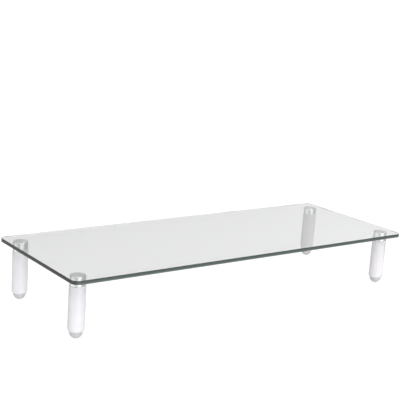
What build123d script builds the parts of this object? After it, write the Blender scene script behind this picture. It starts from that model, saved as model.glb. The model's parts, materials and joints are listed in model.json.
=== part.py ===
from build123d import *
import os

# Monitor riser stand: a tempered-glass shelf on four legs that screw on by hand.
#
# Millimetres. +X runs along the shelf, +Y towards its back and +Z up. The origin is on the floor,
# under the middle of the shelf.
#
# Each corner is a stack on one vertical axis. From the top down: the glass, a film of adhesive, a
# polished collar with a threaded stud fixed in it, a washer, and the leg. The leg is a tube with a
# threaded insert pressed into its top, and a plug in its bottom that holds a soft foot pad.

# Glass shelf
SHELF_LENGTH = 560.0
SHELF_DEPTH = 210.0
SHELF_CORNER_RADIUS = 9.0
GLASS_THICKNESS = 5.0
GLASS_ARRIS = 0.35  # small polished bevel round the upper and lower edges
STAND_HEIGHT = 82.0  # floor to the top of the glass

# Where the legs stand: from the shelf's edges to a leg's axis
LEG_INSET_X = 19.0
LEG_INSET_Y = 26.0

# Adhesive film between the glass and a collar
FILM_DIAMETER = 19.2
FILM_THICKNESS = 0.15

# Polished collar bonded to the glass
COLLAR_DIAMETER = 20.0
COLLAR_DROP = 9.0  # underside of the glass to the collar's lower face
COLLAR_EDGE = 0.4
STUD_SOCKET_DEPTH = 7.0

# M8 stud and the thread that it turns in, both as plain cylinders with a running clearance
STUD_DIAMETER = 8.0
THREAD_CLEARANCE = 0.05
STUD_ENGAGEMENT = 11.0  # length of stud inside the leg when the leg is tight
STUD_TIP_CHAMFER = 0.8

# Washer between the collar and the leg, flush with the collar
WASHER_DIAMETER = COLLAR_DIAMETER
WASHER_HOLE = 8.6
WASHER_THICKNESS = 0.5

# Leg tube
LEG_DIAMETER = 21.0
LEG_WALL = 1.5
LEG_TOP_EDGE = 0.3
LEG_END_INSET = 1.5  # the lower end is swaged inwards by this much,
LEG_END_HEIGHT = 3.5  # over this height,
LEG_LIP_HEIGHT = 1.5  # and ends in a lip with a round mouth
LEG_MOUTH_DIAMETER = 15.0

# Threaded insert in the top of the tube
INSERT_LENGTH = 16.0
INSERT_LEAD_IN = 0.6

# Plug in the bottom of the tube
PLUG_BASE = 6.0
PLUG_SKIRT = 6.0
PLUG_WALL = 1.6

# Foot pad: a dome that bears on the lip, a shoulder inside the mouth and a snap-in spigot
PAD_DIAMETER = 17.2
PAD_HEIGHT = 9.0
PAD_FLAT_RADIUS = 2.0
PAD_SHOULDER_DIAMETER = 14.8
SPIGOT_DIAMETER = 7.0
SPIGOT_HEAD_DIAMETER = 8.6
SPIGOT_HEAD_HEIGHT = 3.0
SPIGOT_TIP_DIAMETER = 6.0

# Heights of the stack, measured from the floor
GLASS_UNDERSIDE = STAND_HEIGHT - GLASS_THICKNESS
COLLAR_TOP = GLASS_UNDERSIDE - FILM_THICKNESS
COLLAR_BOTTOM = GLASS_UNDERSIDE - COLLAR_DROP
TUBE_TOP = COLLAR_BOTTOM - WASHER_THICKNESS
TUBE_BOTTOM = PAD_HEIGHT
PLUG_SEAT = TUBE_BOTTOM + LEG_LIP_HEIGHT
TUBE_BORE_DIAMETER = LEG_DIAMETER - 2 * LEG_WALL

# Corner names, and the side of the shelf that each one is on
CORNERS = {
    "front_left": (-1, -1),
    "front_right": (1, -1),
    "back_left": (-1, 1),
    "back_right": (1, 1),
}


def disc(diameter, bottom, top):
    """Upright cylinder on the Z axis between two heights."""
    on_base = (Align.CENTER, Align.CENTER, Align.MIN)
    return Pos(0, 0, bottom) * Cylinder(diameter / 2, top - bottom, align=on_base)


def turned(outline):
    """Solid of revolution about the Z axis. The outline is drawn as (radius, height)."""
    return revolve(Plane.XZ * make_face(outline), Axis.Z)


def end_edges(solid, end):
    """Edges at the top (end -1) or the bottom (end 0) of a solid."""
    return solid.edges().group_by(Axis.Z)[end]


def glass_top():
    """Rounded rectangle of glass with a small bevel round both faces."""
    plan = RectangleRounded(SHELF_LENGTH, SHELF_DEPTH, SHELF_CORNER_RADIUS)
    plate = Pos(0, 0, GLASS_UNDERSIDE) * extrude(plan, GLASS_THICKNESS)
    return chamfer(end_edges(plate, -1) + end_edges(plate, 0), GLASS_ARRIS)


def bond_film():
    """Disc of cured adhesive that fills the gap between the glass and the collar."""
    return disc(FILM_DIAMETER, COLLAR_TOP, GLASS_UNDERSIDE)


def mount_collar():
    """Boss with broken edges and a blind hole from below for the stud."""
    boss = disc(COLLAR_DIAMETER, COLLAR_BOTTOM, COLLAR_TOP)
    boss = fillet(end_edges(boss, -1) + end_edges(boss, 0), COLLAR_EDGE)
    return boss - disc(STUD_DIAMETER, COLLAR_BOTTOM, COLLAR_BOTTOM + STUD_SOCKET_DEPTH)


def threaded_stud():
    """Stud that fills the collar's hole and hangs below it, a little slimmer, into the leg."""
    held = disc(STUD_DIAMETER, COLLAR_BOTTOM, COLLAR_BOTTOM + STUD_SOCKET_DEPTH)
    free_diameter = STUD_DIAMETER - 2 * THREAD_CLEARANCE
    free = disc(free_diameter, TUBE_TOP - STUD_ENGAGEMENT, COLLAR_BOTTOM)
    return held + chamfer(end_edges(free, 0), STUD_TIP_CHAMFER)


def friction_washer():
    """Flat washer, clear of the stud."""
    return disc(WASHER_DIAMETER, TUBE_TOP, COLLAR_BOTTOM) - disc(WASHER_HOLE, TUBE_TOP, COLLAR_BOTTOM)


def leg_tube():
    """Straight tube. Its lower end curves inwards to a lip round the mouth for the pad."""
    outer = LEG_DIAMETER / 2
    bore = TUBE_BORE_DIAMETER / 2
    mouth = LEG_MOUTH_DIAMETER / 2
    end_radius = outer - LEG_END_INSET
    curve_top = TUBE_BOTTOM + LEG_END_HEIGHT
    outline = [
        Line((outer, TUBE_TOP), (outer, curve_top)),
        TangentArc((outer, curve_top), (end_radius, TUBE_BOTTOM), tangent=(0, -1)),
        Polyline((end_radius, TUBE_BOTTOM), (mouth, TUBE_BOTTOM), (mouth, PLUG_SEAT), (bore, PLUG_SEAT)),
        Polyline((bore, PLUG_SEAT), (bore, TUBE_TOP), (outer, TUBE_TOP)),
    ]
    tube = turned(outline)
    outer_edge = end_edges(tube, -1).sort_by(SortBy.RADIUS)[-1]
    return fillet(outer_edge, LEG_TOP_EDGE)


def thread_insert():
    """Plug with a threaded hole right through it and a lead-in at its mouth."""
    bottom = TUBE_TOP - INSERT_LENGTH
    plug = disc(TUBE_BORE_DIAMETER, bottom, TUBE_TOP) - disc(STUD_DIAMETER, bottom, TUBE_TOP)
    mouth_edge = end_edges(plug, -1).sort_by(SortBy.RADIUS)[0]
    return chamfer(mouth_edge, INSERT_LEAD_IN)


def end_plug():
    """Cup that sits on the tube's lip, with a hole in its base for the pad's spigot."""
    base_top = PLUG_SEAT + PLUG_BASE
    cup = disc(TUBE_BORE_DIAMETER, PLUG_SEAT, base_top + PLUG_SKIRT)
    hollow = disc(TUBE_BORE_DIAMETER - 2 * PLUG_WALL, base_top, base_top + PLUG_SKIRT)
    return cup - hollow - disc(SPIGOT_DIAMETER, PLUG_SEAT, base_top)


def foot_pad():
    """Dome with a small flat to stand on, and a spigot whose head snaps over the plug's base."""
    rim = PAD_DIAMETER / 2
    shoulder = PAD_SHOULDER_DIAMETER / 2
    neck = SPIGOT_DIAMETER / 2
    head = SPIGOT_HEAD_DIAMETER / 2
    tip = SPIGOT_TIP_DIAMETER / 2
    head_bottom = PLUG_SEAT + PLUG_BASE
    head_top = head_bottom + SPIGOT_HEAD_HEIGHT
    outline = [
        Line((0, 0), (PAD_FLAT_RADIUS, 0)),
        TangentArc((rim, PAD_HEIGHT), (PAD_FLAT_RADIUS, 0), tangent=(0, -1)),
        Polyline((rim, PAD_HEIGHT), (shoulder, PAD_HEIGHT), (shoulder, PLUG_SEAT), (neck, PLUG_SEAT)),
        Line((neck, PLUG_SEAT), (neck, head_bottom)),
        Polyline((neck, head_bottom), (head, head_bottom), (tip, head_top), (0, head_top), (0, 0)),
    ]
    return turned(outline)


CORNER_PIECES = {
    "bond_film": bond_film,
    "mount_collar": mount_collar,
    "threaded_stud": threaded_stud,
    "friction_washer": friction_washer,
    "leg_tube": leg_tube,
    "thread_insert": thread_insert,
    "end_plug": end_plug,
    "foot_pad": foot_pad,
}


def main():
    os.makedirs("parts", exist_ok=True)
    export_step(glass_top(), "parts/glass_top.step")
    leg_x = SHELF_LENGTH / 2 - LEG_INSET_X
    leg_y = SHELF_DEPTH / 2 - LEG_INSET_Y
    for piece_name, make_piece in CORNER_PIECES.items():
        piece = make_piece()
        for corner, (side_x, side_y) in CORNERS.items():
            placed = Pos(side_x * leg_x, side_y * leg_y, 0) * piece
            export_step(placed, f"parts/{piece_name}_{corner}.step")


main()
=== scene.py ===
import json
import math

import bmesh
import bpy
from mathutils import Matrix, Vector


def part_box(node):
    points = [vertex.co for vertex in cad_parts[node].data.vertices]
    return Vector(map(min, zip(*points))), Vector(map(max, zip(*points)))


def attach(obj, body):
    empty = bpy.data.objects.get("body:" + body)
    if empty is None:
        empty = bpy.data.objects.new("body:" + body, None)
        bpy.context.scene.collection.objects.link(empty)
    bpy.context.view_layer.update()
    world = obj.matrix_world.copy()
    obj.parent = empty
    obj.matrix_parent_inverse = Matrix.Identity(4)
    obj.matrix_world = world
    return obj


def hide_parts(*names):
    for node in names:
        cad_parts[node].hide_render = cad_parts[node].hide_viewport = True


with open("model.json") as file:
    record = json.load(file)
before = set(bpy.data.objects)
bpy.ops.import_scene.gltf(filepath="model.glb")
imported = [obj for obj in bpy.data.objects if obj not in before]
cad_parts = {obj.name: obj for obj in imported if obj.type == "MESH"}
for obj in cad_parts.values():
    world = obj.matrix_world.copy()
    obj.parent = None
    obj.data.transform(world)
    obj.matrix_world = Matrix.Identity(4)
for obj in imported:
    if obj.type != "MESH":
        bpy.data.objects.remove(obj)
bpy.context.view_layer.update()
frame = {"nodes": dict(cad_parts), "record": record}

# Monitor riser stand: a clear glass shelf on four white screw-on legs. Metres, in the CAD frame:
# +X runs along the shelf, +Y towards its back and +Z up, and the origin is on the floor under its
# middle.

MM = 0.001
MICRON = 0.001 * MM
CORNERS = ("front_left", "front_right", "back_left", "back_right")
SIDES = ((-1, -1), (1, -1), (1, 1), (-1, 1))  # a rectangle's corners, seen from above

# ---------------------------------------------------------------------------
# Places and sizes
# ---------------------------------------------------------------------------


def leg_axis(corner):
    """The point on the floor under a leg's axis."""
    low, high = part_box(f"leg_tube_{corner}")
    middle = (low + high) / 2
    return Vector((middle.x, middle.y, 0.0))


def stack(kind):
    """(radius, bottom, top) of a turned CAD piece, the same at every corner."""
    low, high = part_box(f"{kind}_front_left")
    return (high.x - low.x) / 2, low.z, high.z


shelf_low, shelf_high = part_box("glass_top")
film_radius, film_bottom, film_top = stack("bond_film")
collar_radius, collar_bottom, collar_top = stack("mount_collar")
stud_radius, stud_bottom, stud_top = stack("threaded_stud")
washer_radius, washer_bottom, washer_top = stack("friction_washer")
tube_radius, tube_bottom, tube_top = stack("leg_tube")
pad_radius, pad_bottom, pad_top = stack("foot_pad")

AIR = 0.02 * MM  # gap left between faces that touch

# Glass
SHELF_CORNER_RADIUS = 9.0 * MM
ARRIS = 0.35 * MM  # polished bevel round both faces
EDGE_SKIN = 0.04 * MM  # thickness of the skin that carries the edge's painted shade

# Leg tube: its lower end is swaged inwards to a lip round the mouth
TUBE_BORE_RADIUS = 9.0 * MM
TUBE_MOUTH_RADIUS = 7.5 * MM
TUBE_END_RADIUS = 9.0 * MM
TUBE_END_HEIGHT = 3.5 * MM
TUBE_LIP = 1.5 * MM
SWAGE_SHARE = 0.97  # share of the swaged curve that is left by the rounding at its end
LIP_SETBACK = 0.05 * MM

# Foot pad
PAD_FLAT_RADIUS = 2.0 * MM
DOME_END = -2.0  # degrees of the dome's curve, just short of the rim's rounding
PAD_SHOULDER_RADIUS = 7.4 * MM
SPIGOT_RADIUS = 3.5 * MM
SPIGOT_HEAD_RADIUS = 4.3 * MM
SPIGOT_TIP_RADIUS = 3.0 * MM
SPIGOT_HEAD_HEIGHT = 3.0 * MM

# Washer and M8 thread
WASHER_HOLE_RADIUS = 4.3 * MM
THREAD_CREST_RADIUS = 3.93 * MM
THREAD_ROOT_RADIUS = 3.3 * MM
THREAD_PITCH = 1.25 * MM
THREAD_BURIAL = 0.15 * MM  # how deep the ridge's foot lies in the core
THREAD_FOOT = 0.44  # half the width of the ridge's foot, as a share of the pitch
THREAD_FLAT = 0.08  # and of its crest
THREAD_END_SIZE = 0.05  # the ridge's size where it ends, as a share of its full size
THREAD_TOP_INSET = 1.0 * MM  # how far inside the collar the stud thins to its thread

# Roundings of edges
COLLAR_EDGE = 0.35 * MM
TUBE_TOP_EDGE = 0.35 * MM
WASHER_EDGE = 0.12 * MM
FILM_EDGE = 0.03 * MM
PAD_RIM_EDGE = 0.25 * MM
PAD_SHOULDER_EDGE = 0.3 * MM
SPIGOT_TIP_EDGE = 0.5 * MM
STUD_TOP_EDGE = 0.3 * MM
STUD_TIP_EDGE = 0.8 * MM
MOUTH_EDGE = 0.2 * MM  # at the mouth of a bore, and on the spigot's head
FINE_EDGE = 0.1 * MM  # elsewhere

# ---------------------------------------------------------------------------
# Camera
# ---------------------------------------------------------------------------

CAMERA_PLACE = Vector((-0.7943, -1.0255, 0.3501))  # from the middle of the glass's top face
CAMERA_HEADING = math.radians(-36.81)  # about +Z, from +Y
CAMERA_DOWN = math.radians(13.02)
CAMERA_ROLL = math.radians(3.92)
CAMERA_LENS_MM = 84.52


def make_camera():
    """Camera at the height of someone seated, with the stand across its view."""
    data = bpy.data.cameras.new("camera")
    data.sensor_width = 36.0
    data.lens = CAMERA_LENS_MM
    data.clip_start = 0.05
    data.clip_end = 50.0
    camera = bpy.data.objects.new("camera", data)
    turn = Matrix.Rotation(CAMERA_HEADING, 4, "Z")
    tilt = Matrix.Rotation(math.pi / 2 - CAMERA_DOWN, 4, "X")
    roll = Matrix.Rotation(CAMERA_ROLL, 4, "Z")
    place = CAMERA_PLACE + Vector((0.0, 0.0, shelf_high.z))
    camera.matrix_world = Matrix.Translation(place) @ turn @ tilt @ roll
    bpy.context.scene.collection.objects.link(camera)
    bpy.context.scene.camera = camera


make_camera()

# ---------------------------------------------------------------------------
# Node helpers
# ---------------------------------------------------------------------------


def add(tree, kind, inputs=None, **settings):
    """A new node with its settings and the default values of its inputs."""
    node = tree.nodes.new(kind)
    for name, value in settings.items():
        setattr(node, name, value)
    for name, value in (inputs or {}).items():
        node.inputs[name].default_value = value
    return node


def ramp(tree, factor, stops):
    """A colour ramp over (position, colour) stops, driven by a socket."""
    node = tree.nodes.new("ShaderNodeValToRGB")
    elements = node.color_ramp.elements
    while len(elements) < len(stops):
        elements.new(0.5)
    for element, (position, colour) in zip(elements, stops):
        element.position = position
        element.color = (*colour, 1.0)
    tree.links.new(factor, node.inputs["Fac"])
    return node.outputs["Color"]


def grey(level):
    """A neutral colour."""
    return (level, level, level)


def ranged(tree, value, low, high, start=0.25, end=0.75):
    """A socket's start to end mapped to low to high."""
    limits = {"From Min": start, "From Max": end, "To Min": low, "To Max": high}
    node = add(tree, "ShaderNodeMapRange", limits)
    tree.links.new(value, node.inputs["Value"])
    return node.outputs[0]


def mix_colour(tree, factor, first, second):
    """Two colours mixed by a socket. Each one is a socket or a plain colour."""
    node = add(tree, "ShaderNodeMix", data_type="RGBA")
    tree.links.new(factor, node.inputs["Factor"])
    for name, colour in (("A", first), ("B", second)):
        socket = [s for s in node.inputs if s.name == name and s.type == "RGBA"][0]
        if isinstance(colour, bpy.types.NodeSocket):
            tree.links.new(colour, socket)
        else:
            socket.default_value = (*colour, 1.0)
    return [s for s in node.outputs if s.type == "RGBA"][0]


# ---------------------------------------------------------------------------
# Studio
# ---------------------------------------------------------------------------

# Brightness of the sky by height: 0 is the horizon and 1 is straight up. The bright ring lights
# the stand from overhead.
SKY = (
    (0.0, 1.1),
    (0.07, 1.1),
    (0.12, 0.72),
    (0.36, 0.68),
    (0.82, 0.6),
    (0.86, 5.0),
    (0.95, 5.0),
    (0.975, 0.7),
    (1.0, 0.7),
)
SKY_SLOPE = (0.45, 1.12)  # the sky's share at the stage's left and at its right,
SLOPE_SPAN = (-0.3, 0.3)  # and how far left and right it changes
KEY_LIGHT = (0.15, 1.0, 1.1)  # towards the stage's right, its front and up
KEY_BRIGHTNESS = 2.7
KEY_SPAN = (0.9, 0.97)  # cosines of the angles at the light's rim and at its full brightness

# Brightness of the upright panels below the horizon, round the stage: 0.25 is its left, 0.5 its
# front and 0.75 its right.
PANELS = (
    (0.0, 0.65),
    (0.15, 0.65),
    (0.2, 0.45),
    (0.25, 1.1),
    (0.38, 1.05),
    (0.44, 0.7),
    (0.51, 0.75),
    (0.56, 1.5),
    (0.63, 1.5),
    (0.69, 0.65),
    (0.8, 0.45),
    (0.88, 0.6),
    (1.0, 0.65),
)
HORIZON_SPAN = (-0.06, -0.02)  # heights between which the panels give way to the sky

STAGE_RADIUS = 6.0
WALL_HEIGHT = 5.0
WALL_SIDES = 64
FLOOR_GAP = 0.5 * MM  # under a leg at the end of its travel

SOFTBOX_PLACE = Vector((-1.1, -4.4, 1.7))
SOFTBOX_AIM = Vector((0.0, 0.0, 0.05))
SOFTBOX_SIZE = (2.6, 1.8)
SOFTBOX_POWER = 3.0


def grey_ramp(tree, factor, levels):
    """A ramp over (position, brightness) stops."""
    return ramp(tree, factor, [(position, grey(level)) for position, level in levels])


def make_world():
    """A grey sky for the glass to reflect, a soft key light, and upright panels for the metal."""
    world = bpy.data.worlds.new("studio")
    world.use_nodes = True
    tree = world.node_tree
    direction = add(tree, "ShaderNodeTexCoord").outputs["Generated"]
    split = add(tree, "ShaderNodeSeparateXYZ")
    tree.links.new(direction, split.inputs[0])
    height = split.outputs["Z"]

    # How far a direction points to the stage's right, to its front, and at the key light.
    stage_right = Vector((math.cos(CAMERA_HEADING), math.sin(CAMERA_HEADING), 0.0))
    stage_front = Vector((math.sin(CAMERA_HEADING), -math.cos(CAMERA_HEADING), 0.0))
    to_right, to_front, up = KEY_LIGHT
    key_light = to_front * stage_front + to_right * stage_right + Vector((0.0, 0.0, up))
    shares = []
    for axis in (stage_right, stage_front, key_light.normalized()):
        product = add(tree, "ShaderNodeVectorMath", operation="DOT_PRODUCT")
        tree.links.new(direction, product.inputs[0])
        product.inputs[1].default_value = axis
        shares.append(product.outputs["Value"])
    right_share, front_share, key_share = shares

    turn = add(tree, "ShaderNodeMath", operation="ARCTAN2")
    tree.links.new(right_share, turn.inputs[0])
    tree.links.new(front_share, turn.inputs[1])
    around = ranged(tree, turn.outputs[0], 0.0, 1.0, -math.pi, math.pi)

    sloped = add(tree, "ShaderNodeVectorMath", operation="SCALE")
    tree.links.new(grey_ramp(tree, height, SKY), sloped.inputs[0])
    tree.links.new(ranged(tree, right_share, *SKY_SLOPE, *SLOPE_SPAN), sloped.inputs["Scale"])
    above = add(tree, "ShaderNodeVectorMath", operation="ADD")
    tree.links.new(sloped.outputs[0], above.inputs[0])
    tree.links.new(ranged(tree, key_share, 0.0, KEY_BRIGHTNESS, *KEY_SPAN), above.inputs[1])
    below = grey_ramp(tree, around, PANELS)
    is_above = ranged(tree, height, 0.0, 1.0, *HORIZON_SPAN)
    whole = mix_colour(tree, is_above, below, above.outputs[0])
    background = tree.nodes["Background"]
    tree.links.new(whole, background.inputs["Color"])
    background.inputs["Strength"].default_value = 1.0
    bpy.context.scene.world = world


def paper_material():
    """Luminous white paper that still takes a faint shadow."""
    paper = bpy.data.materials.new("studio_paper")
    paper.use_nodes = True
    shader = paper.node_tree.nodes["Principled BSDF"]
    shader.inputs["Base Color"].default_value = (0.12, 0.12, 0.12, 1.0)
    shader.inputs["Roughness"].default_value = 0.9
    shader.inputs["Specular IOR Level"].default_value = 0.0
    shader.inputs["Emission Color"].default_value = (1.0, 1.0, 1.0, 1.0)
    shader.inputs["Emission Strength"].default_value = 0.92
    return paper


def leg_travel():
    """How far a leg goes down when it is unscrewed."""
    joints = frame["record"]["behaviour"]["joints"]
    return max(joint["range_m"][1] for joint in joints if "range_m" in joint)


def make_stage():
    """White floor and a round white wall, kept out of the gloss: the world lights the stand.

    The floor lies just below the lowest point that an unscrewed leg reaches.
    """
    paper = paper_material()
    level = -leg_travel() - FLOOR_GAP
    floor_mesh = bpy.data.meshes.new("floor")
    square = [(side_x * STAGE_RADIUS, side_y * STAGE_RADIUS) for side_x, side_y in SIDES]
    floor_mesh.from_pydata([(x, y, level) for x, y in square], [], [(0, 1, 2, 3)])
    wall_mesh = bpy.data.meshes.new("backdrop")
    rim = []
    strips = []
    for step in range(WALL_SIDES):
        angle = 2 * math.pi * step / WALL_SIDES
        rim.append((STAGE_RADIUS * math.cos(angle), STAGE_RADIUS * math.sin(angle)))
        ahead = (step + 1) % WALL_SIDES
        strips.append((step, ahead, ahead + WALL_SIDES, step + WALL_SIDES))
    points = [(x, y, level) for x, y in rim] + [(x, y, WALL_HEIGHT) for x, y in rim]
    wall_mesh.from_pydata(points, [], strips)
    for mesh in (floor_mesh, wall_mesh):
        mesh.materials.append(paper)
        stage = bpy.data.objects.new(mesh.name, mesh)
        stage.visible_diffuse = False
        stage.visible_glossy = False
        if mesh is wall_mesh:
            stage.visible_transmission = False
            stage.visible_shadow = False
        bpy.context.scene.collection.objects.link(stage)


def make_softbox():
    """A weak lamp in front of the stand, kept out of its reflections."""
    data = bpy.data.lights.new("softbox_front", "AREA")
    data.shape = "RECTANGLE"
    data.size, data.size_y = SOFTBOX_SIZE
    data.energy = SOFTBOX_POWER
    light = bpy.data.objects.new("softbox_front", data)
    light.location = SOFTBOX_PLACE
    light.rotation_mode = "QUATERNION"
    light.rotation_quaternion = (SOFTBOX_AIM - SOFTBOX_PLACE).to_track_quat("-Z", "Y")
    light.visible_glossy = False
    light.visible_transmission = False
    bpy.context.scene.collection.objects.link(light)


make_world()
make_stage()
make_softbox()
bpy.context.scene.view_settings.view_transform = "Standard"

# ---------------------------------------------------------------------------
# Materials
# ---------------------------------------------------------------------------


def start_material(name, **values):
    """(material, tree, shader), with the Principled shader's plain values set."""
    material = bpy.data.materials.new(name)
    material.use_nodes = True
    tree = material.node_tree
    shader = tree.nodes["Principled BSDF"]
    for key, value in values.items():
        shader.inputs[key.replace("_", " ")].default_value = value
    return material, tree, shader


def object_noise(tree, scale, detail=3.0, stretch=(1.0, 1.0, 1.0)):
    """Noise in the piece's own space, in cells per metre, stretched along its axes."""
    place = add(tree, "ShaderNodeTexCoord")
    mapping = add(tree, "ShaderNodeMapping", {"Scale": stretch})
    noise = add(tree, "ShaderNodeTexNoise", {"Scale": scale, "Detail": detail})
    tree.links.new(place.outputs["Object"], mapping.inputs["Vector"])
    tree.links.new(mapping.outputs[0], noise.inputs["Vector"])
    return noise.outputs["Fac"]


def vary(tree, shader, pattern, tints, roughness):
    """Colour and roughness that follow one pattern, each from its first value to its second."""
    tint = ramp(tree, pattern, [(0.3, tints[0]), (0.7, tints[1])])
    tree.links.new(tint, shader.inputs["Base Color"])
    tree.links.new(ranged(tree, pattern, *roughness), shader.inputs["Roughness"])


def add_bump(tree, shader, height, depth):
    """Surface relief. depth is the height of the relief in metres."""
    bump = add(tree, "ShaderNodeBump", {"Strength": 1.0, "Distance": depth})
    tree.links.new(height, bump.inputs["Height"])
    tree.links.new(bump.outputs[0], shader.inputs["Normal"])


def glass_material():
    """Clear float glass: faint roller wave, grey-green only through its depth."""
    material, tree, shader = start_material(
        "tempered_glass",
        Base_Color=(1.0, 1.0, 1.0, 1.0),
        Roughness=0.0,
        IOR=1.52,
        Transmission_Weight=1.0,
    )
    wave = object_noise(tree, 9.0, 1.0)
    add_bump(tree, shader, wave, 20 * MICRON)
    tint = {"Color": (0.57, 0.6, 0.59, 1.0), "Density": 36.0}
    depth = add(tree, "ShaderNodeVolumeAbsorption", tint)
    tree.links.new(depth.outputs[0], tree.nodes["Material Output"].inputs["Volume"])
    return material


def edge_material():
    """The glass's polished edge as painted shade: dark teal for the light lost through the glass,
    painted lighter low down, nearly black on the short ends.
    """
    material, tree, shader = start_material(
        "painted_glass_edge", Roughness=0.16, IOR=1.5, Coat_Weight=0.4, Coat_Roughness=0.05)
    place = add(tree, "ShaderNodeTexCoord")
    split = add(tree, "ShaderNodeSeparateXYZ")
    tree.links.new(place.outputs["Object"], split.inputs[0])
    height = ranged(tree, split.outputs["Z"], 0.0, 1.0, shelf_low.z, shelf_high.z)
    # Painted shade of the long sides by height: lighter low down, darkest at the top.
    long_side_shade = ramp(tree, height, [
        (0.0, (0.14, 0.18, 0.165)),
        (0.25, (0.095, 0.125, 0.115)),
        (0.7, (0.05, 0.072, 0.072)),
        (1.0, (0.04, 0.056, 0.056)),
    ])
    # Painted shade of the short ends, darker still.
    short_side_shade = ramp(tree, height, [
        (0.0, (0.034, 0.042, 0.039)),
        (0.4, (0.016, 0.021, 0.02)),
        (1.0, (0.01, 0.014, 0.014)),
    ])

    # The short ends face along X and get darker painted shade, for light's longer path through the
    # glass. One colour turns into the other round a corner.
    facing = add(tree, "ShaderNodeSeparateXYZ")
    tree.links.new(place.outputs["Normal"], facing.inputs[0])
    sideways = add(tree, "ShaderNodeMath", operation="ABSOLUTE")
    tree.links.new(facing.outputs["X"], sideways.inputs[0])
    at_end = ranged(tree, sideways.outputs[0], 0.0, 1.0, 0.35, 0.85)
    body = mix_colour(tree, at_end, long_side_shade, short_side_shade)

    streaks = object_noise(tree, 40.0, 3.0, (1.0, 1.0, 30.0))
    shade = mix_colour(tree, ranged(tree, streaks, 0.0, 0.3), body, (0.1, 0.13, 0.125))
    tree.links.new(shade, shader.inputs["Base Color"])
    tree.links.new(ranged(tree, streaks, 0.1, 0.24), shader.inputs["Roughness"])
    add_bump(tree, shader, streaks, 10 * MICRON)
    return material


def inner_edge_material():
    """The same edge seen from inside the glass, as painted light: pale, faintly green, for the light
    that the edge sends back into the glass.
    """
    material, tree, shader = start_material("glass_inner_edge_painted_light", Roughness=0.3)
    streaks = object_noise(tree, 60.0, 3.0)
    # Pale painted light, with faint random streaks.
    tint = ramp(tree, streaks, [(0.3, (0.82, 0.86, 0.85)), (0.7, (0.9, 0.93, 0.92))])
    tree.links.new(tint, shader.inputs["Base Color"])
    return material


def film_material():
    """Cured clear adhesive, slightly milky, with fine trapped bubbles. Its pale tone and part
    opacity are partly painted reflection: the bright look the polished collar takes from its
    surroundings.
    """
    material, tree, shader = start_material("cured_adhesive", Roughness=0.25, Alpha=0.8)
    bubbles = object_noise(tree, 900.0, 2.0)
    # Pale milky tone: partly the adhesive's own, partly painted reflection.
    tint = ramp(tree, bubbles, [(0.35, (0.9, 0.91, 0.91)), (0.6, (0.95, 0.955, 0.955))])
    tree.links.new(tint, shader.inputs["Base Color"])
    add_bump(tree, shader, bubbles, 10 * MICRON)
    return material


def chrome_material():
    """Polished plated metal with faint turning marks round it."""
    material, tree, shader = start_material("polished_collar", Metallic=1.0)
    marks = object_noise(tree, 60.0, 4.0, (1.0, 1.0, 60.0))
    vary(tree, shader, marks, ((0.86, 0.87, 0.88), (0.92, 0.925, 0.935)), (0.06, 0.14))
    add_bump(tree, shader, marks, 2 * MICRON)
    return material


def etched_material():
    """The collar's bonding face: the same metal, etched to a pale satin."""
    material, tree, shader = start_material("etched_collar_face", Metallic=0.5)
    grain = object_noise(tree, 500.0, 4.0)
    vary(tree, shader, grain, ((0.9, 0.9, 0.91), (0.96, 0.96, 0.97)), (0.4, 0.55))
    add_bump(tree, shader, grain, 5 * MICRON)
    return material


def paint_material():
    """Satin white powder coat with a fine orange peel."""
    material, tree, shader = start_material(
        "white_powder_coat", Coat_Weight=0.3, Coat_Roughness=0.12)
    cloud = object_noise(tree, 70.0, 3.0)
    vary(tree, shader, cloud, ((0.825, 0.81, 0.845), (0.86, 0.845, 0.875)), (0.28, 0.38))
    add_bump(tree, shader, object_noise(tree, 1400.0, 2.0), 15 * MICRON)
    return material


def silicone_material():
    """Soft grey silicone, slightly translucent, with a matt moulded skin."""
    material, tree, shader = start_material(
        "grey_silicone", Subsurface_Weight=0.15, Subsurface_Scale=0.002)
    shader.inputs["Subsurface Radius"].default_value = (1.0, 1.0, 1.0)
    cloud = object_noise(tree, 260.0, 4.0)
    vary(tree, shader, cloud, ((0.6, 0.59, 0.6), (0.67, 0.66, 0.67)), (0.42, 0.58))
    add_bump(tree, shader, object_noise(tree, 2500.0, 3.0), 20 * MICRON)
    return material


def zinc_material():
    """Bright zinc plate over turned steel."""
    material, tree, shader = start_material("zinc_steel", Metallic=1.0)
    cloud = object_noise(tree, 400.0, 4.0)
    vary(tree, shader, cloud, ((0.55, 0.56, 0.57), (0.7, 0.7, 0.69)), (0.22, 0.38))
    add_bump(tree, shader, object_noise(tree, 1500.0, 2.0), 4 * MICRON)
    return material


def nylon_material():
    """Natural nylon: milky, off-white, satin."""
    material, tree, shader = start_material(
        "natural_nylon", Subsurface_Weight=0.3, Subsurface_Scale=0.001)
    cloud = object_noise(tree, 300.0, 3.0)
    vary(tree, shader, cloud, ((0.8, 0.8, 0.78), (0.86, 0.86, 0.84)), (0.4, 0.5))
    add_bump(tree, shader, object_noise(tree, 2000.0, 2.0), 8 * MICRON)
    return material


def plug_material():
    """Moulded white plastic."""
    material, tree, shader = start_material("white_plastic")
    cloud = object_noise(tree, 300.0, 3.0)
    vary(tree, shader, cloud, ((0.78, 0.78, 0.79), (0.84, 0.84, 0.85)), (0.4, 0.55))
    add_bump(tree, shader, object_noise(tree, 3000.0, 2.0), 10 * MICRON)
    return material


GLASS = glass_material()
EDGE = edge_material()
INNER_EDGE_LIGHT = inner_edge_material()
ADHESIVE = film_material()
CHROME = chrome_material()
ETCHED = etched_material()
PAINT = paint_material()
SILICONE = silicone_material()
ZINC = zinc_material()
NYLON = nylon_material()
PLUG_WHITE = plug_material()

# ---------------------------------------------------------------------------
# Mesh helpers
# ---------------------------------------------------------------------------

TOUCH = MICRON  # points nearer than this are taken to touch
AXIS = (0.0, 0.0)  # of a turned piece, before it is put at its corner
TURNED_SEGMENTS = 96
STUD_SEGMENTS = 48


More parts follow.
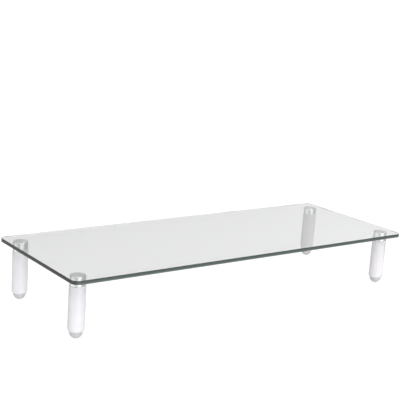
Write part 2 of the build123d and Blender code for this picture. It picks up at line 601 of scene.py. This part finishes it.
def finish_mesh(name, bm, materials):
    """A smooth-shaded object from a bmesh, with normals that keep its flat faces flat."""
    bmesh.ops.recalc_face_normals(bm, faces=bm.faces)
    mesh = bpy.data.meshes.new(name)
    bm.to_mesh(mesh)
    bm.free()
    for material in materials:
        mesh.materials.append(material)
    for polygon in mesh.polygons:
        polygon.use_smooth = True
    piece = bpy.data.objects.new(name, mesh)
    bpy.context.scene.collection.objects.link(piece)
    weighted = piece.modifiers.new("weighted", "WEIGHTED_NORMAL")
    weighted.keep_sharp = True
    return piece


def fit_in(piece, body, slot, *replaced):
    """Attaches a piece to its body and hides the CAD nodes that it stands for. slot, its slot in the
    record, is not used.
    """
    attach(piece, body)
    if replaced:
        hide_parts(*replaced)


def round_point(centre, radius, angle):
    """The point on a circle at an angle in radians."""
    return centre[0] + radius * math.cos(angle), centre[1] + radius * math.sin(angle)


def arc(centre, radius, start, end, steps):
    """Points on an arc between two angles in degrees, both ends included."""
    points = []
    for step in range(steps + 1):
        angle = math.radians(start + (end - start) * step / steps)
        points.append(round_point(centre, radius, angle))
    return points


def rounded(corners, closed, steps=3):
    """An outline of (radius, height) points from (radius, height, rounding) corners."""
    points = []
    count = len(corners)
    for index, corner in enumerate(corners):
        here = Vector(corner[:2])
        size = corner[2] if len(corner) > 2 else 0.0
        if size == 0.0 or (not closed and index in (0, count - 1)):
            points.append(tuple(here))
            continue
        back = (Vector(corners[index - 1][:2]) - here).normalized()
        ahead = (Vector(corners[(index + 1) % count][:2]) - here).normalized()
        half = back.angle(ahead) / 2
        reach = size / math.tan(half)
        centre = here + (back + ahead).normalized() * (size / math.sin(half))
        first = here + back * reach - centre
        last = here + ahead * reach - centre
        for step in range(steps + 1):
            outwards = first.slerp(last, step / steps)  # of unit length
            points.append(tuple(centre + outwards * size))
    return points


def lathe(bm, outline, closed, segments):
    """Turns an outline of (radius, height) points round Z. An open one has its ends on Z."""
    rings = []
    for radius, height in outline:
        if radius < TOUCH:
            rings.append([bm.verts.new((0.0, 0.0, height))])
            continue
        ring = []
        for step in range(segments):
            x, y = round_point(AXIS, radius, 2 * math.pi * step / segments)
            ring.append(bm.verts.new((x, y, height)))
        rings.append(ring)
    pairs = list(zip(rings, rings[1:]))
    if closed:
        pairs.append((rings[-1], rings[0]))
    for lower, upper in pairs:
        for step in range(segments):
            ahead = (step + 1) % segments
            corners = [lower[step % len(lower)], lower[ahead % len(lower)]]
            corners += [upper[ahead % len(upper)], upper[step % len(upper)]]
            bm.faces.new(list(dict.fromkeys(corners)))


def stand_at(piece, corner, turn):
    """Puts a piece on a leg's axis, turned so that no two corners show the same grain."""
    piece.location = leg_axis(corner)
    piece.rotation_euler.z = turn


def turned_piece(name, corner, turn, outline, closed, materials):
    """A lathe piece at a corner. A second material is for its top face."""
    bm = bmesh.new()
    lathe(bm, outline, closed, TURNED_SEGMENTS)
    if len(materials) > 1:
        top = max(vert.co.z for vert in bm.verts)
        for face in bm.faces:
            on_top = min(vert.co.z for vert in face.verts) > top - TOUCH
            face.material_index = 1 if on_top else 0
    piece = finish_mesh(name, bm, materials)
    stand_at(piece, corner, turn)
    return piece


# ---------------------------------------------------------------------------
# Glass
# ---------------------------------------------------------------------------


def shelf_outline(inset, steps=16):
    """Points round the shelf's plan, moved inwards, from the front right corner."""
    radius = SHELF_CORNER_RADIUS - inset
    points = []
    for quarter, (side_x, side_y) in enumerate(SIDES[1:] + SIDES[:1]):
        centre = (
            side_x * (shelf_high.x - SHELF_CORNER_RADIUS),
            side_y * (shelf_high.y - SHELF_CORNER_RADIUS),
        )
        points += arc(centre, radius, 90 * quarter - 90, 90 * quarter, steps)
    return points


def shelf_ring(bm, inset, height):
    """Vertices round the shelf's plan, moved inwards, at one height."""
    return [bm.verts.new((x, y, height)) for x, y in shelf_outline(inset)]


def join_rings(bm, lower, upper, material_index=0):
    """Faces between two rings of vertices."""
    for step in range(len(lower)):
        ahead = (step + 1) % len(lower)
        face = bm.faces.new((lower[step], lower[ahead], upper[ahead], upper[step]))
        face.material_index = material_index


def make_glass():
    """The clear body with rounded bevels, and a shallow groove round it for the skin that carries
    the edge's painted shade.
    """
    low, high = shelf_low.z, shelf_high.z
    groove = EDGE_SKIN + AIR
    lower_bevel = [(ARRIS - r, z) for r, z in arc((0.0, low + ARRIS), ARRIS, -90, 0, 4)]
    upper_bevel = [(ARRIS - r, z) for r, z in arc((0.0, high - ARRIS), ARRIS, 0, 90, 4)]
    sections = [*lower_bevel, (groove, low + ARRIS), (groove, high - ARRIS), *upper_bevel]
    bm = bmesh.new()
    rings = [shelf_ring(bm, *section) for section in sections]
    for lower, upper in zip(rings, rings[1:]):
        join_rings(bm, lower, upper)
    bm.faces.new(rings[0])
    bm.faces.new(rings[-1])
    piece = finish_mesh("clear_glass_shelf", bm, [GLASS])
    fit_in(piece, "shelf", "clear_glass", "glass_top")


def make_glass_edge():
    """The glass's edge face, a dark band of painted shade: a thin closed skin in the body's groove,
    with pale painted light on the sides that face into the glass.
    """
    low, high = shelf_low.z + ARRIS + AIR, shelf_high.z - ARRIS - AIR
    sections = [(0.0, low), (0.0, high), (EDGE_SKIN, high), (EDGE_SKIN, low)]
    bm = bmesh.new()
    rings = [shelf_ring(bm, *section) for section in sections]
    for index, (lower, upper) in enumerate(zip(rings, rings[1:] + rings[:1])):
        join_rings(bm, lower, upper, 0 if index == 0 else 1)
    piece = finish_mesh("painted_glass_edge", bm, [EDGE, INNER_EDGE_LIGHT])
    fit_in(piece, "shelf", "clear_glass")


make_glass()
make_glass_edge()

# ---------------------------------------------------------------------------
# Corner stacks
# ---------------------------------------------------------------------------


def film_outline():
    """Thin disc, clear of the glass and the collar."""
    top = film_top - AIR
    bottom = film_bottom + AIR
    return rounded([
        (0, bottom),
        (film_radius, bottom, FILM_EDGE),
        (film_radius, top, FILM_EDGE),
        (0, top),
    ], False)


def collar_outline():
    """Polished boss with broken edges and a blind socket for the stud."""
    socket = stud_radius + AIR
    socket_top = stud_top + AIR
    return rounded([
        (0, collar_top),
        (collar_radius, collar_top, COLLAR_EDGE),
        (collar_radius, collar_bottom, COLLAR_EDGE),
        (socket, collar_bottom, MOUTH_EDGE),
        (socket, socket_top, FINE_EDGE),
        (0, socket_top),
    ], False, 4)


def washer_outline():
    """Flat ring, clear of the collar, the leg and the stud."""
    bottom = washer_bottom + AIR
    top = washer_top - AIR
    return rounded([
        (WASHER_HOLE_RADIUS, bottom, WASHER_EDGE),
        (washer_radius, bottom, WASHER_EDGE),
        (washer_radius, top, WASHER_EDGE),
        (WASHER_HOLE_RADIUS, top, WASHER_EDGE),
    ], True)


def tube_outline():
    """Straight wall that curves inwards at the bottom to a lip round the mouth."""
    inset = tube_radius - TUBE_END_RADIUS
    curve = (inset ** 2 + TUBE_END_HEIGHT ** 2) / (2 * inset)
    sweep = math.degrees(math.asin(TUBE_END_HEIGHT / curve))
    centre = (tube_radius - curve, tube_bottom + TUBE_END_HEIGHT)
    swage = arc(centre, curve, 0, -sweep * SWAGE_SHARE, 10)
    seat = tube_bottom + TUBE_LIP
    return rounded([
        (TUBE_BORE_RADIUS, seat),
        (TUBE_BORE_RADIUS, tube_top, MOUTH_EDGE),
        (tube_radius, tube_top, TUBE_TOP_EDGE),
        *swage,
        (TUBE_END_RADIUS - LIP_SETBACK, tube_bottom, FINE_EDGE),
        (TUBE_MOUTH_RADIUS, tube_bottom, FINE_EDGE),
        (TUBE_MOUTH_RADIUS, seat),
    ], True)


def pad_outline():
    """Dome on a rim that bears on the tube's lip, then a shoulder and a snap-in spigot."""
    rim_top = tube_bottom - AIR
    rise = rim_top - pad_bottom
    reach = pad_radius - PAD_FLAT_RADIUS
    curve = (reach ** 2 + rise ** 2) / (2 * reach)
    sweep = math.degrees(math.asin(rise / curve))
    dome = arc((pad_radius - curve, rim_top), curve, -sweep, DOME_END, 18)
    shoulder_top = tube_bottom + TUBE_LIP - AIR
    head_bottom = pad_top - SPIGOT_HEAD_HEIGHT
    return rounded([
        (0, pad_bottom),
        *dome,
        (pad_radius, rim_top, PAD_RIM_EDGE),
        (PAD_SHOULDER_RADIUS, rim_top),
        (PAD_SHOULDER_RADIUS, shoulder_top, PAD_SHOULDER_EDGE),
        (SPIGOT_RADIUS, shoulder_top),
        (SPIGOT_RADIUS, head_bottom),
        (SPIGOT_HEAD_RADIUS, head_bottom, MOUTH_EDGE),
        (SPIGOT_TIP_RADIUS, pad_top, SPIGOT_TIP_EDGE),
        (0, pad_top),
    ], False)


def add_thread(bm, top, bottom, steps_per_turn=36):
    """A closed helical ridge round the stud. Its ends taper away into the core."""
    buried = THREAD_ROOT_RADIUS - THREAD_BURIAL
    foot = THREAD_PITCH * THREAD_FOOT
    flat = THREAD_PITCH * THREAD_FLAT
    turns = (top - bottom) / THREAD_PITCH - 1
    count = round(turns * steps_per_turn)
    taper = steps_per_turn / 2
    sections = []
    for step in range(count + 1):
        angle = -2 * math.pi * step / steps_per_turn
        height = top - THREAD_PITCH * (0.5 + step / steps_per_turn)
        size = min(1.0, step / taper, (count - step) / taper)
        size = max(size, THREAD_END_SIZE)
        crest = buried + (THREAD_CREST_RADIUS - buried) * size
        profile = (
            (buried, height + foot * size),
            (crest, height + flat * size),
            (crest, height - flat * size),
            (buried, height - foot * size),
        )
        section = []
        for radius, z in profile:
            x, y = round_point(AXIS, radius, angle)
            section.append(bm.verts.new((x, y, z)))
        sections.append(section)
    for here, ahead in zip(sections, sections[1:]):
        for side in range(len(here)):
            other = (side + 1) % len(here)
            bm.faces.new((here[side], here[other], ahead[other], ahead[side]))
    bm.faces.new(sections[0])
    bm.faces.new(list(reversed(sections[-1])))


def make_stud(corner, turn):
    """Core that fills the collar's socket and thins to the thread's root, with its thread."""
    bm = bmesh.new()
    shank_bottom = collar_bottom + THREAD_TOP_INSET
    core = rounded([
        (0, stud_top),
        (stud_radius - AIR, stud_top, STUD_TOP_EDGE),
        (stud_radius - AIR, shank_bottom, FINE_EDGE),
        (THREAD_ROOT_RADIUS, shank_bottom),
        (THREAD_ROOT_RADIUS, stud_bottom, STUD_TIP_EDGE),
        (0, stud_bottom),
    ], False)
    lathe(bm, core, False, STUD_SEGMENTS)
    add_thread(bm, shank_bottom + THREAD_PITCH / 2, stud_bottom + STUD_TIP_EDGE / 2)
    piece = finish_mesh(f"m8_stud_{corner}", bm, [ZINC])
    stand_at(piece, corner, turn)
    fit_in(piece, "shelf", "zinc_steel", f"threaded_stud_{corner}")


FIRST_TURN = 0.3  # turn of the first corner's grain, in radians,
NEXT_TURN = 2.4  # and what each further corner adds
TURNED_PIECES = (
    # name, CAD node, body, slot, outline, closed, materials; {} is the corner's name
    ("adhesive_film", "bond_film", "shelf", "clear_adhesive", film_outline, False, [ADHESIVE]),
    ("collar", "mount_collar", "shelf", "polished_metal", collar_outline, False, [CHROME, ETCHED]),
    ("nylon_washer", "friction_washer", "washer_{}", "natural_nylon", washer_outline, True, [NYLON]),
    ("white_leg", "leg_tube", "leg_{}", "white_paint", tube_outline, True, [PAINT]),
    ("silicone_foot", "foot_pad", "leg_{}", "grey_silicone", pad_outline, False, [SILICONE]),
)

for index, corner in enumerate(CORNERS):
    turn = FIRST_TURN + NEXT_TURN * index
    for name, node, body, slot, outline, closed, materials in TURNED_PIECES:
        piece = turned_piece(f"{name}_{corner}", corner, turn, outline(), closed, materials)
        fit_in(piece, body.format(corner), slot, f"{node}_{corner}")
    make_stud(corner, turn)

# The insert and the plug are inside the tube, and keep their CAD shape.
for corner in CORNERS:
    for kind, material in (("thread_insert", ZINC), ("end_plug", PLUG_WHITE)):
        mesh = frame["nodes"][f"{kind}_{corner}"].data
        mesh.materials.clear()
        mesh.materials.append(material)
